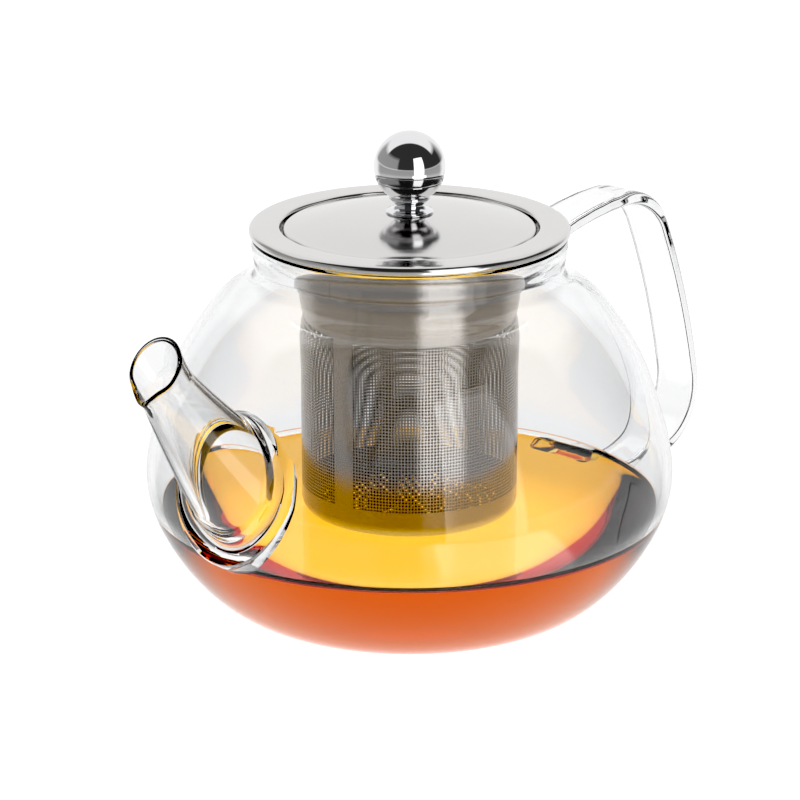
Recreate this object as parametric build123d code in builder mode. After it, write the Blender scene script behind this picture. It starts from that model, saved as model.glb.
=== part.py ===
"""Glass teapot with a lift-out steel infuser and a lift-off steel lid.

The origin is the centre of the flat base, +Z is up, the spout points to -X and the
handle to +X. Lengths are in millimetres.
"""

from build123d import *
from math import cos, radians, sin
import os

# ------------------------------------------------------------------ driving dimensions
# Pot body, blown borosilicate glass
base_radius = 36.0
base_thickness = 2.6
belly_radius = 69.8
belly_height = 35.5
belly_wall = 2.0
neck_radius = 40.6
neck_height = 93.0
neck_wall = 2.4
throat_bend = 4.5
throat_slope = 38.0
lip_bulge = 0.7
lip_rise = 8.5
lip_land = 1.6

# Spout, drawn from the same glass and flame-welded to the belly
spout_root_inset = 5.1
spout_root_z = 50.1
spout_reach = 29.2
spout_rise = 36.4
spout_root_radius = 14.8
spout_mouth_radius = 7.2
spout_mouth_flare = 0.7
spout_wall = 2.0
weld_flare = 5.0
mouth_tilt = 34.0

# Handle, a flat strap of glass bent into a loop
handle_width = 14.0
handle_thickness = 4.6
strap_rounding = 0.45
handle_start_drop = 9.5
handle_root_drop = 7.5
handle_rise_share = 0.45
handle_lift_share = 0.7
handle_crest_out = 43.4
handle_crest_lift = 1.8
handle_shoulder_share = 0.53
handle_shoulder_drop = 10.8
handle_reach_out = 47.0
handle_grip_z = 37.5
handle_heel_out = 36.2
handle_heel_z = 17.8
handle_weld_z = 23.5

# Infuser, pressed steel
sheet = 0.6
flange_overhang = 1.4
flange_edge = 2.5
recess_inset = 6.8
recess_depth = 3.4
sleeve_radius = 28.6
sleeve_wall = 0.4
skirt_depth = 12.3
base_gap = 24.1
corner_radius = 3.4

# Lid, pressed steel with a turned knob
disc_sheet = 0.8
disc_edge_radius = 1.0
disc_crown = 3.2
dome_lift = 0.72
lid_skirt_depth = 6.0
knob_radius = 9.4
knob_seam_share = 0.4
knob_wall = 1.2
foot_radius = 6.3
foot_height = 2.5
foot_edge = 0.5
foot_flare_share = 0.68
foot_flare_lift = 0.42
waist_radius = 3.9
collar_radius = 5.3
collar_height = 1.95
collar_edge = 0.5
collar_seat = 0.3
screw_radius = 2.0
screw_head_radius = 3.6
screw_head_height = 2.0
screw_engagement = 3.0
washer_radius = 4.6
washer_thickness = 0.8

# Named clearances
disc_clearance = 0.7
skirt_clearance = 0.6
bore_clearance = 0.2
handle_sink = 6.0
horn_sink = 12.0

# ------------------------------------------------------------------ levels and places
spout_root_x = spout_root_inset - belly_radius
handle_crest_x = neck_radius + handle_crest_out
handle_crest_z = neck_height + handle_crest_lift
handle_reach = belly_radius + handle_reach_out
handle_heel_x = belly_radius + handle_heel_out
flange_radius = neck_radius + flange_overhang
recess_radius = neck_radius - recess_inset
lip_height = neck_height + lip_rise
flange_height = lip_height + flange_edge
recess_floor = flange_height - recess_depth
skirt_bottom = flange_height - skirt_depth
infuser_bottom = base_thickness + base_gap
cup_top = infuser_bottom + corner_radius
skirt_radius = sleeve_radius + sheet
disc_radius = recess_radius - disc_clearance
disc_top = flange_height + disc_crown
disc_underside = disc_top - disc_sheet
land_radius = foot_radius + 0.4
foot_top = disc_top + foot_height
collar_top = foot_top + collar_height
ball_seat_drop = (knob_radius**2 - collar_radius**2) ** 0.5
ball_height = collar_top + ball_seat_drop
seam_height = ball_height - knob_seam_share * knob_radius
screw_top = ball_height - knob_radius + screw_engagement
spout_mouth_x = spout_root_x - spout_reach
spout_mouth_z = spout_root_z + spout_rise

# The pot's glass is one blown piece; these levels part it into bands that are simple rings.
floor_share = 0.17
shoulder_share = 0.53
floor_level = floor_share * belly_height
shoulder_level = belly_height + shoulder_share * (neck_height - belly_height)
throat_level = neck_height - throat_bend


def between(start, end, share):
    """The value that lies a share of the way from start to end."""
    return start + (end - start) * share


def belly_curve(foot, widest, neck, bend):
    """Outline of the belly: out from its foot, over its widest point, and up into its neck."""
    turn = radians(90 - throat_slope)
    throat = (neck[0] + bend * (1 - cos(turn)), neck[1] - bend * sin(turn))
    lower = [(0.37, 0.085), (0.73, 0.40)]
    upper = [(0.11, 0.325), (0.335, 0.63), (0.56, 0.81), (0.78, 0.935)]
    points = [foot]
    for out, up in lower:
        points.append((between(foot[0], widest[0], out), between(foot[1], widest[1], up)))
    points.append(widest)
    for back, up in upper:
        points.append((between(widest[0], throat[0], back), between(widest[1], throat[1], up)))
    points.append(throat)
    belly = Spline(points, tangents=[(1, 0), (-cos(radians(throat_slope)), sin(radians(throat_slope)))])
    TangentArc(belly @ 1, neck, tangent=belly % 1)


def outer_belly():
    """The belly's outside."""
    belly_curve((base_radius, 0), (belly_radius, belly_height), (neck_radius, neck_height), throat_bend)


def inner_belly():
    """The belly's inside."""
    belly_curve(
        (base_radius, base_thickness),
        (belly_radius - belly_wall, belly_height),
        (neck_radius - neck_wall, neck_height),
        throat_bend + neck_wall,
    )


inner_neck_radius = neck_radius - neck_wall
lip_middle = neck_radius + lip_bulge / 2 - neck_wall / 2

# ------------------------------------------------------------------ tools for trimming
# The pot as if it were solid: welded pieces end on its outer surface.
with BuildPart() as pot_envelope:
    with BuildSketch(Plane.YZ):
        with BuildLine():
            Line((0, 0), (base_radius, 0))
            outer_belly()
            Line((neck_radius, neck_height), (neck_radius, flange_height))
            Line((neck_radius, flange_height), (0, flange_height))
            Line((0, flange_height), (0, 0))
        make_face()
    revolve(axis=Axis.Z)

# The spout's centre line leaves the belly at a slope and steepens a little to the mouth.
with BuildLine() as spout_line:
    Spline(
        (spout_root_x, 0, spout_root_z),
        (spout_mouth_x, 0, spout_mouth_z),
        tangents=[(-0.69, 0, 0.72), (-0.58, 0, 0.81)],
    )


def spout_plane(share):
    """The plane across the spout's centre line; its x axis lies along Y."""
    return Plane(origin=spout_line.line @ share, x_dir=(0, 1, 0), z_dir=spout_line.line % share)


def horn_radius(share):
    """Outer radius of the spout: it narrows quickly at first and opens a little at the mouth."""
    taper = between(spout_root_radius, spout_mouth_radius, min(1, 1.18 * share) ** 0.8)
    return taper + spout_mouth_flare * max(0, share - 0.8) / 0.2


root_plane = spout_plane(0)
sunk_root = Plane(
    origin=root_plane.origin - root_plane.z_dir * horn_sink, x_dir=(0, 1, 0), z_dir=root_plane.z_dir
)
mouth_normal = Vector(-1, 0, 0).rotate(Axis.Y, mouth_tilt)
mouth_plane = Plane(origin=(spout_mouth_x, 0, spout_mouth_z), x_dir=(0, 1, 0), z_dir=mouth_normal)
horn_shares = [0.16, 0.36, 0.56, 0.76, 1.0, 1.2]


def horn_sections(inset):
    """Plane, half-width and half-height of each section, from inside the belly to past the mouth."""
    root = spout_root_radius - inset
    flare = weld_flare if inset == 0 else 0
    sections = [
        (sunk_root, root + 1.6 * flare, root + 0.4 * flare),
        (root_plane, root + 0.7 * flare, root + 0.1 * flare),
    ]
    for share in horn_shares:
        along = min(share, 1.0)
        past = (share - along) * Vector(spout_reach, 0, spout_rise).length
        radius = horn_radius(along) - inset
        sections.append((spout_plane(along).offset(past), radius, radius))
    return sections


with BuildPart() as spout_channel:
    for plane, half_width, half_height in horn_sections(spout_wall):
        with BuildSketch(plane):
            Ellipse(half_width, half_height)
    loft()

# ------------------------------------------------------------------ pot
with BuildPart() as pot_blank:
    with BuildSketch(Plane.YZ):
        with BuildLine():
            Line((0, 0), (base_radius, 0))
            outer_belly()
            Spline(
                (neck_radius, neck_height),
                (neck_radius + lip_bulge, lip_height - lip_land),
                (lip_middle + lip_land / 2, lip_height),
                tangents=[(0, 1), (-1, 0)],
            )
            Line((lip_middle + lip_land / 2, lip_height), (lip_middle - lip_land / 2, lip_height))
            Spline(
                (lip_middle - lip_land / 2, lip_height),
                (inner_neck_radius, lip_height - lip_land),
                tangents=[(-1, 0), (0, -1)],
            )
            Line((inner_neck_radius, lip_height - lip_land), (inner_neck_radius, neck_height))
            inner_belly()
            Line((base_radius, base_thickness), (0, base_thickness))
            Line((0, base_thickness), (0, 0))
        make_face()
    revolve(axis=Axis.Z)
    add(spout_channel.part, mode=Mode.SUBTRACT)


def band(low, high):
    """Adds the part of the blown pot between two levels."""
    add(pot_blank.part)
    if low > 0:
        split(bisect_by=Plane.XY.offset(low), keep=Keep.TOP)
    if high < lip_height:
        split(bisect_by=Plane.XY.offset(high), keep=Keep.BOTTOM)


with BuildPart() as glass_base:
    band(0, floor_level)
glass_base.part.label = "glass_base"

with BuildPart() as glass_belly_low:
    band(floor_level, belly_height)
glass_belly_low.part.label = "glass_belly_low"

with BuildPart() as glass_belly_high:
    band(belly_height, shoulder_level)
glass_belly_high.part.label = "glass_belly_high"

with BuildPart() as glass_shoulder:
    band(shoulder_level, throat_level)
glass_shoulder.part.label = "glass_shoulder"

with BuildPart() as glass_neck:
    band(throat_level, lip_height)
glass_neck.part.label = "glass_neck"

with BuildPart() as glass_spout:
    for plane, half_width, half_height in horn_sections(0):
        with BuildSketch(plane):
            Ellipse(half_width, half_height)
    loft()
    add(pot_envelope.part, mode=Mode.SUBTRACT)
    add(spout_channel.part, mode=Mode.SUBTRACT)
    split(bisect_by=mouth_plane, keep=Keep.BOTTOM)
glass_spout.part.label = "glass_spout"

rise_x = between(neck_radius, handle_crest_x, handle_rise_share)
rise_z = between(neck_height - handle_root_drop, handle_crest_z, handle_lift_share)
shoulder_x = between(handle_crest_x, handle_reach, handle_shoulder_share)
shoulder_z = handle_crest_z - handle_shoulder_drop

# The strap's centre line is a chain of tangent arcs, from the neck over to the belly.
with BuildLine() as handle_line:
    crest = ThreePointArc(
        (neck_radius - handle_sink, 0, neck_height - handle_start_drop),
        (rise_x, 0, rise_z),
        (handle_crest_x, 0, handle_crest_z),
    )
    shoulder = TangentArc(crest @ 1, (shoulder_x, 0, shoulder_z), tangent=crest % 1)
    back = TangentArc(shoulder @ 1, (handle_reach, 0, handle_grip_z), tangent=shoulder % 1)
    heel = TangentArc(back @ 1, (handle_heel_x, 0, handle_heel_z), tangent=back % 1)
    tail = TangentArc(heel @ 1, (belly_radius - handle_sink, 0, handle_weld_z), tangent=heel % 1)

with BuildPart() as glass_handle:
    with BuildSketch(Plane(origin=handle_line.line @ 0, x_dir=(0, 1, 0), z_dir=handle_line.line % 0)):
        RectangleRounded(handle_width, handle_thickness, strap_rounding * handle_thickness)
    sweep(path=handle_line.line)
    add(pot_envelope.part, mode=Mode.SUBTRACT)
glass_handle.part.label = "glass_handle"

# ------------------------------------------------------------------ infuser
curl_radius = flange_edge / 2
curl_centre = flange_radius - curl_radius
curl_inner = curl_centre - curl_radius
flange_underside = flange_height - sheet
recess_outer = recess_radius + sheet
recess_underside = recess_floor - sheet

# One pressing: a rolled flange, a recess for the lid, and a skirt around the sleeve.
with BuildPart() as infuser_rim:
    with BuildSketch(Plane.XZ):
        with BuildLine():
            Line((recess_radius, flange_height), (curl_centre, flange_height))
            ThreePointArc(
                (curl_centre, flange_height),
                (flange_radius, flange_height - curl_radius),
                (curl_centre, lip_height),
            )
            Line((curl_centre, lip_height), (curl_inner, lip_height + sheet))
            Line((curl_inner, lip_height + sheet), (curl_inner, flange_underside))
            Line((curl_inner, flange_underside), (recess_outer, flange_underside))
            Line((recess_outer, flange_underside), (recess_outer, recess_underside))
            Line((recess_outer, recess_underside), (skirt_radius, recess_underside))
            Line((skirt_radius, recess_underside), (skirt_radius, skirt_bottom))
            Line((skirt_radius, skirt_bottom), (sleeve_radius, skirt_bottom))
            Line((sleeve_radius, skirt_bottom), (sleeve_radius, recess_floor))
            Line((sleeve_radius, recess_floor), (recess_radius, recess_floor))
            Line((recess_radius, recess_floor), (recess_radius, flange_height))
        make_face()
    revolve(axis=Axis.Z)
    recess_edge = edges().filter_by(GeomType.CIRCLE).group_by(Axis.Z)[-1].sort_by(SortBy.RADIUS)[0]
    fillet(recess_edge, 0.9 * sheet)
infuser_rim.part.label = "infuser_rim"

with BuildPart() as infuser_sleeve:
    with BuildSketch(Plane.XY.offset(cup_top)):
        Circle(sleeve_radius)
        Circle(sleeve_radius - sleeve_wall, mode=Mode.SUBTRACT)
    extrude(amount=recess_underside - cup_top)
infuser_sleeve.part.label = "infuser_sleeve"

with BuildPart() as infuser_cup:
    with BuildSketch(Plane.XY.offset(infuser_bottom)):
        Circle(sleeve_radius)
    extrude(amount=corner_radius)
    fillet(edges().group_by(Axis.Z)[0], 0.95 * corner_radius)
    offset(amount=-sleeve_wall, openings=faces().sort_by(Axis.Z)[-1])
infuser_cup.part.label = "infuser_cup"

# ------------------------------------------------------------------ lid
edge_top = flange_height - disc_edge_radius / 2
under_edge = edge_top - disc_sheet
disc_inner = disc_radius - disc_sheet
bore_radius = screw_radius + bore_clearance
rim_reach = 0.05  # how near the rim's level an edge must lie to be picked


def dome(drop, rim):
    """Outline of the disc's dome from its flat land out to its rim, lowered by drop."""
    return ThreePointArc(
        (land_radius, disc_top - drop),
        (between(land_radius, rim, 0.5), between(edge_top, disc_top, dome_lift) - drop),
        (rim, edge_top - drop),
    )


with BuildPart() as lid_disc:
    with BuildSketch(Plane.XZ):
        with BuildLine():
            Line((bore_radius, disc_top), (land_radius, disc_top))
            dome(0, disc_radius)
            Line((disc_radius, edge_top), (disc_radius, recess_floor))
            Line((disc_radius, recess_floor), (disc_inner, recess_floor))
            Line((disc_inner, recess_floor), (disc_inner, under_edge))
            dome(disc_sheet, disc_inner)
            Line((land_radius, disc_underside), (bore_radius, disc_underside))
            Line((bore_radius, disc_underside), (bore_radius, disc_top))
        make_face()
    revolve(axis=Axis.Z)
    rim_edge = edges().filter_by_position(Axis.Z, edge_top - rim_reach, edge_top + rim_reach)
    fillet(rim_edge, 0.9 * disc_edge_radius)
lid_disc.part.label = "lid_disc"

# Everything under the dome, used to end the skirt on the disc's underside
with BuildPart() as under_dome:
    with BuildSketch(Plane.XZ):
        with BuildLine():
            Line((0, disc_underside), (land_radius, disc_underside))
            dome(disc_sheet, disc_inner)
            Line((disc_inner, under_edge), (disc_inner, skirt_bottom))
            Line((disc_inner, skirt_bottom), (0, skirt_bottom))
            Line((0, skirt_bottom), (0, disc_underside))
        make_face()
    revolve(axis=Axis.Z)

lid_skirt_radius = sleeve_radius - sleeve_wall - skirt_clearance

with BuildPart() as lid_skirt:
    with BuildSketch(Plane.XY.offset(recess_floor - lid_skirt_depth)):
        Circle(lid_skirt_radius)
        Circle(lid_skirt_radius - sheet, mode=Mode.SUBTRACT)
    extrude(amount=disc_top - recess_floor + lid_skirt_depth)
    add(under_dome.part, mode=Mode.INTERSECT)
lid_skirt.part.label = "lid_skirt"

flare_x = between(foot_radius, waist_radius, foot_flare_share)
flare_z = disc_top + foot_flare_lift * foot_height

with BuildPart() as knob_foot:
    with BuildSketch(Plane.XZ):
        with BuildLine():
            Line((bore_radius, disc_top), (foot_radius, disc_top))
            Line((foot_radius, disc_top), (foot_radius, disc_top + foot_edge))
            Spline(
                (foot_radius, disc_top + foot_edge),
                (flare_x, flare_z),
                (waist_radius, foot_top),
                tangents=[(-0.6, 0.35), (-0.1, 1)],
            )
            Line((waist_radius, foot_top), (bore_radius, foot_top))
            Line((bore_radius, foot_top), (bore_radius, disc_top))
        make_face()
    revolve(axis=Axis.Z)
knob_foot.part.label = "knob_foot"

with BuildPart() as knob_collar:
    with BuildSketch(Plane.XZ):
        with BuildLine():
            Polyline(
                (bore_radius, foot_top),
                (waist_radius + collar_seat, foot_top),
                (collar_radius, collar_top - collar_edge),
                (collar_radius, collar_top),
                (bore_radius, collar_top),
                close=True,
            )
        make_face()
    revolve(axis=Axis.Z)
    with Locations((0, 0, ball_height)):
        Sphere(knob_radius, mode=Mode.SUBTRACT)
knob_collar.part.label = "knob_collar"

with BuildPart() as knob_ball_lower:
    with Locations((0, 0, ball_height)):
        Sphere(knob_radius)
    split(bisect_by=Plane.XY.offset(seam_height), keep=Keep.BOTTOM)
    with BuildSketch(Plane.XY.offset(ball_height - knob_radius)):
        Circle(screw_radius)
    extrude(amount=screw_engagement, mode=Mode.SUBTRACT)
knob_ball_lower.part.label = "knob_ball_lower"

with BuildPart() as knob_ball_upper:
    with Locations((0, 0, ball_height)):
        Sphere(knob_radius)
        Sphere(knob_radius - knob_wall, mode=Mode.SUBTRACT)
    split(bisect_by=Plane.XY.offset(seam_height), keep=Keep.TOP)
knob_ball_upper.part.label = "knob_ball_upper"

with BuildPart() as knob_washer:
    with BuildSketch(Plane.XY.offset(disc_underside - washer_thickness)):
        Circle(washer_radius)
        Circle(bore_radius, mode=Mode.SUBTRACT)
    extrude(amount=washer_thickness)
knob_washer.part.label = "knob_washer"

screw_head_top = disc_underside - washer_thickness

with BuildPart() as knob_screw:
    with BuildSketch(Plane.XY.offset(screw_head_top - screw_head_height)):
        Circle(screw_head_radius)
    extrude(amount=screw_head_height)
    fillet(edges().group_by(Axis.Z)[0], 0.5 * screw_head_height)
    with BuildSketch(Plane.XY.offset(screw_head_top)):
        Circle(screw_radius)
    extrude(amount=screw_top - screw_head_top)
    with BuildSketch(Plane.XY.offset(screw_head_top - screw_head_height)):
        Rectangle(1.5 * screw_head_radius, 0.3 * screw_head_radius)
        Rectangle(0.3 * screw_head_radius, 1.5 * screw_head_radius)
    extrude(amount=0.5 * screw_head_height, mode=Mode.SUBTRACT)
knob_screw.part.label = "knob_screw"

# ------------------------------------------------------------------ files
pieces = [
    glass_base,
    glass_belly_low,
    glass_belly_high,
    glass_shoulder,
    glass_neck,
    glass_spout,
    glass_handle,
    infuser_rim,
    infuser_sleeve,
    infuser_cup,
    lid_disc,
    lid_skirt,
    knob_foot,
    knob_collar,
    knob_ball_lower,
    knob_ball_upper,
    knob_washer,
    knob_screw,
]

os.makedirs("parts", exist_ok=True)
for piece in pieces:
    export_step(piece.part, f"parts/{piece.part.label}.step")
    print(piece.part.label, round(piece.part.volume, 1))
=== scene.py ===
"""Looks of the glass teapot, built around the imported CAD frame. Lengths are in metres."""

from math import atan2, cos, degrees, exp, pi, radians, sin, sqrt

import bmesh
import bpy
import numpy as np
from mathutils import Matrix, Vector


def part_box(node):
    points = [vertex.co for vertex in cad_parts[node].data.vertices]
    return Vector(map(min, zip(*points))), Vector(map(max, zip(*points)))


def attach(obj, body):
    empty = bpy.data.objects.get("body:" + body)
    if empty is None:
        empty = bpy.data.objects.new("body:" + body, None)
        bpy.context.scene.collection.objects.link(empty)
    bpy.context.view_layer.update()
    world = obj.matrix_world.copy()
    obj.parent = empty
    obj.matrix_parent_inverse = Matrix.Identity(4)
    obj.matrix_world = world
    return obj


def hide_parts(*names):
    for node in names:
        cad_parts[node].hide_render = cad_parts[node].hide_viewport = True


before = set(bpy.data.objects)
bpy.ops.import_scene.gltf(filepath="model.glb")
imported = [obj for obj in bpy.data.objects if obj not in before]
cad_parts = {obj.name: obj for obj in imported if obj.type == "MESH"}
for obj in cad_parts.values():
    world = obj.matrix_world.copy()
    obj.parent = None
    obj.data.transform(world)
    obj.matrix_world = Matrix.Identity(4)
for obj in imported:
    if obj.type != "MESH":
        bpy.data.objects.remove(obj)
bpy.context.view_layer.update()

AROUND = 192  # segments around every turned piece

# ------------------------------------------------------------------ sizes, from the frame
pot_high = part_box("glass_belly_high")[1]
rim_low, rim_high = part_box("infuser_rim")
sleeve_low, sleeve_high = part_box("infuser_sleeve")
cup_low, cup_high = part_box("infuser_cup")
disc_low, disc_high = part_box("lid_disc")
foot_low, foot_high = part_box("knob_foot")
collar_low, collar_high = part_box("knob_collar")
ball_low, ball_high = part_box("knob_ball_upper")

# Those that no node's box gives are the CAD's own values.
belly_radius = pot_high[1]
lip_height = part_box("glass_neck")[1][2]
belly_height = 0.0355
base_radius = 0.0360
base_thickness = 0.0026
belly_wall = 0.0020
neck_radius = 0.0406
neck_height = lip_height - 0.0085
neck_wall = 0.0024
throat_bend = 0.0045
throat_slope = radians(38)
flange_radius = rim_high[0]
flange_height = rim_high[2]
sleeve_radius = sleeve_high[0]
cup_bottom = cup_low[2]
disc_radius = disc_high[0]
disc_top = disc_high[2]
ball_radius = (ball_high[0] - ball_low[0]) / 2
ball_height = ball_high[2] - ball_radius
seam_height = ball_low[2]
waist_radius = 0.0039  # between the knob's foot and collar
bore_radius = 0.0022  # of the pieces on the knob's screw
ball_wall = 0.0012
tea_level = cup_bottom + 0.0004
tea_climb = 0.0018
tea_climb_reach = 0.0012
tea_gap = 0.0004  # between the tea's sides and the inside of the glass
glass_bend = 1.47  # refractive indices
tea_bend = 1.333


# ------------------------------------------------------------------ curves
def between(start, end, share):
    """The value that lies a share of the way from start to end."""
    return start + (end - start) * share


def spline(points, start=None, end=None, step=0.0008):
    """A smooth curve through the points, as many close points; start and end are its end directions."""
    p = np.array(points, float)
    chord = np.linalg.norm(np.diff(p, axis=0), axis=1)
    count = len(p)
    system = np.zeros((count, count))
    right = np.zeros_like(p)
    for i in range(1, count - 1):
        before, after = chord[i - 1], chord[i]
        system[i, i - 1 : i + 2] = after, 2 * (before + after), before
        right[i] = 3 * (after * (p[i] - p[i - 1]) / before + before * (p[i + 1] - p[i]) / after)
    for row, other, way, reach in ((0, 1, start, chord[0]), (count - 1, count - 2, end, chord[-1])):
        system[row, row] = 1
        if way is None:
            system[row, row] = 2
            system[row, other] = 1
            right[row] = 3 * (p[max(row, other)] - p[min(row, other)]) / reach
        else:
            right[row] = np.array(way, float) / np.linalg.norm(way)
    slope = np.linalg.solve(system, right)
    curve = []
    for i in range(count - 1):
        pieces = max(2, int(round(chord[i] / step)))
        for k in range(pieces):
            u = k / pieces
            h = chord[i]
            curve.append(
                (2 * u**3 - 3 * u**2 + 1) * p[i]
                + (u**3 - 2 * u**2 + u) * h * slope[i]
                + (3 * u**2 - 2 * u**3) * p[i + 1]
                + (u**3 - u**2) * h * slope[i + 1]
            )
    curve.append(p[-1])
    return [tuple(q) for q in curve]


def arc(centre, radius, start, end, steps=8):
    """Points of a circular arc between two angles in degrees."""
    turns = [radians(between(start, end, k / steps)) for k in range(steps + 1)]
    return [(centre[0] + radius * cos(t), centre[1] + radius * sin(t)) for t in turns]


def belly(foot, widest, neck, bend):
    """The belly's outline from its foot to its neck, as in the CAD."""
    turn = pi / 2 - throat_slope
    throat = (neck[0] + bend * (1 - cos(turn)), neck[1] - bend * sin(turn))
    lower = [(0.37, 0.085), (0.73, 0.40)]
    upper = [(0.11, 0.325), (0.335, 0.63), (0.56, 0.81), (0.78, 0.935)]
    points = [foot]
    points += [(between(foot[0], widest[0], a), between(foot[1], widest[1], b)) for a, b in lower]
    points.append(widest)
    points += [(between(widest[0], throat[0], a), between(widest[1], throat[1], b)) for a, b in upper]
    points.append(throat)
    curve = spline(points, (1, 0), (-cos(throat_slope), sin(throat_slope)))
    centre = (neck[0] + bend, neck[1])
    return curve + arc(centre, bend, 180 + degrees(turn), 180, 10)[1:]


def outer_belly():
    """Outside of the pot's wall."""
    return belly((base_radius, 0), (belly_radius, belly_height), (neck_radius, neck_height), throat_bend)


def inner_belly(out=0.0):
    """Inside of the pot's wall, moved outwards into the wall by out."""
    wall = belly_wall - out
    return belly(
        (base_radius, base_thickness - out),
        (belly_radius - wall, belly_height),
        (neck_radius - neck_wall + out, neck_height),
        throat_bend + neck_wall - out,
    )


# ------------------------------------------------------------------ meshes
def new_piece(name, mesh_data, smooth_angle=40):
    """A mesh object from a bmesh, smooth except along edges sharper than the angle in degrees."""
    mesh = bpy.data.meshes.new(name)
    bmesh.ops.recalc_face_normals(mesh_data, faces=mesh_data.faces)
    mesh_data.to_mesh(mesh)
    mesh_data.free()
    piece = bpy.data.objects.new(name, mesh)
    bpy.context.scene.collection.objects.link(piece)
    smooth(piece, smooth_angle)
    return piece


def smooth(piece, angle=40):
    """Shades the piece smooth and marks its sharper edges."""
    mesh = piece.data
    mesh.shade_smooth()
    data = bmesh.new()
    data.from_mesh(mesh)
    for edge in data.edges:
        edge.smooth = len(edge.link_faces) < 2 or edge.calc_face_angle(0) < radians(angle)
    data.to_mesh(mesh)
    data.free()


def lathe(name, outline, closed=True, around=AROUND, smooth_angle=40):
    """A turned piece from its (radius, height) outline."""
    data = bmesh.new()
    rings = []
    for radius, height in outline:
        if radius < 1e-7:
            rings.append([data.verts.new((0, 0, height))])
            continue
        ring = []
        for k in range(around):
            turn = 2 * pi * k / around
            ring.append(data.verts.new((radius * cos(turn), radius * sin(turn), height)))
        rings.append(ring)
    pairs = list(zip(rings, rings[1:]))
    if closed and len(rings[0]) > 1 and len(rings[-1]) > 1:
        pairs.append((rings[-1], rings[0]))
    for low, high in pairs:
        if len(low) == 1 and len(high) == 1:
            continue
        for k in range(around):
            n = (k + 1) % around
            if len(low) == 1:
                data.faces.new((low[0], high[n], high[k]))
            elif len(high) == 1:
                data.faces.new((low[k], low[n], high[0]))
            else:
                data.faces.new((low[k], low[n], high[n], high[k]))
    return new_piece(name, data, smooth_angle)


def skin(name, rings, smooth_angle=40):
    """A closed tube through rings of points, capped at both ends."""
    data = bmesh.new()
    made = [[data.verts.new(p) for p in ring] for ring in rings]
    for low, high in zip(made, made[1:]):
        for k in range(len(low)):
            n = (k + 1) % len(low)
            data.faces.new((low[k], low[n], high[n], high[k]))
    data.faces.new(made[0][::-1])
    data.faces.new(made[-1])
    return new_piece(name, data, smooth_angle)


def combine(piece, tool, how):
    """Joins or cuts the piece with the tool, which is then removed."""
    cut = piece.modifiers.new("combine", "BOOLEAN")
    cut.operation = how
    cut.solver = "MANIFOLD"
    cut.object = tool
    bpy.context.view_layer.update()
    done = bpy.data.meshes.new_from_object(piece.evaluated_get(bpy.context.evaluated_depsgraph_get()))
    piece.modifiers.clear()
    piece.data = done
    bpy.data.objects.remove(tool)


# ------------------------------------------------------------------ spout
spout_root = Vector((-0.0647, 0, 0.0501))
spout_mouth = spout_root + Vector((-0.0292, 0, 0.0364))
root_way = Vector((-0.69, 0, 0.72)).normalized()
mouth_way = Vector((-0.58, 0, 0.81)).normalized()
spout_length = (spout_mouth - spout_root).length
root_radius = 0.0148
mouth_radius = 0.0072
mouth_flare = 0.0007
spout_wall = 0.0020
mouth_tilt = radians(34)
weld_reach = 0.0052
lip_pinch = 0.0021
rim_round = 0.00042
channel_reach = 0.0022


def spout_centre(share):
    """A point on the spout's centre line and its direction there; the line runs straight past both ends."""
    if share < 0:
        return spout_root + root_way * (share * spout_length), root_way
    if share > 1:
        return spout_mouth + mouth_way * ((share - 1) * spout_length), mouth_way
    u, h = share, spout_length
    point = (
        (2 * u**3 - 3 * u**2 + 1) * spout_root
        + (u**3 - 2 * u**2 + u) * h * root_way
        + (3 * u**2 - 2 * u**3) * spout_mouth
        + (u**3 - u**2) * h * mouth_way
    )
    way = (
        (6 * u**2 - 6 * u) * spout_root
        + (3 * u**2 - 4 * u + 1) * h * root_way
        + (6 * u - 6 * u**2) * spout_mouth
        + (3 * u**2 - 2 * u) * h * mouth_way
    )
    return point, way.normalized()


def horn_radius(share):
    """Outer radius of the spout, as in the CAD."""
    share = max(share, 0)
    taper = between(root_radius, mouth_radius, min(1, 1.18 * share) ** 0.8)
    rise = min(max(0, share - 0.8) / 0.2, 1.3)
    return taper + mouth_flare * rise * rise


def belly_radius_at(height, outline):
    """Radius of an outline at a height."""
    rise = np.array([p[1] for p in outline])
    out = np.array([p[0] for p in outline])
    return float(np.interp(height, rise, out))


def horn_point(share, turn, inset):
    """A point on the spout's surface; turn 0 lies along Y and a quarter turn up the spout's back."""
    centre, way = spout_centre(share)
    side = Vector((0, 1, 0))
    back = side.cross(way)
    back = back if back.z > 0 else -back
    radius = horn_radius(share) - inset * (1 - 0.42 * min(max(0, share), 1))
    pinch = exp(-((turn + pi / 2) ** 2) / 0.075) * max(0, (share - 0.72) / 0.28) ** 2
    squeeze = exp(-((abs(turn + pi / 2) - 0.75) ** 2) / 0.12) * max(0, (share - 0.72) / 0.28) ** 2
    radius += lip_pinch * pinch - 0.0008 * squeeze
    return centre + radius * (side * cos(turn) + back * sin(turn))


def wall_crossing(turn, inset, outline):
    """Where along the spout its surface crosses an outline of the belly."""
    low, high = -0.9, 0.9
    for _ in range(40):
        middle = (low + high) / 2
        p = horn_point(middle, turn, inset)
        if Vector((p.x, p.y)).length < belly_radius_at(p.z, outline):
            low = middle
        else:
            high = middle
    return (low + high) / 2


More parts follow.
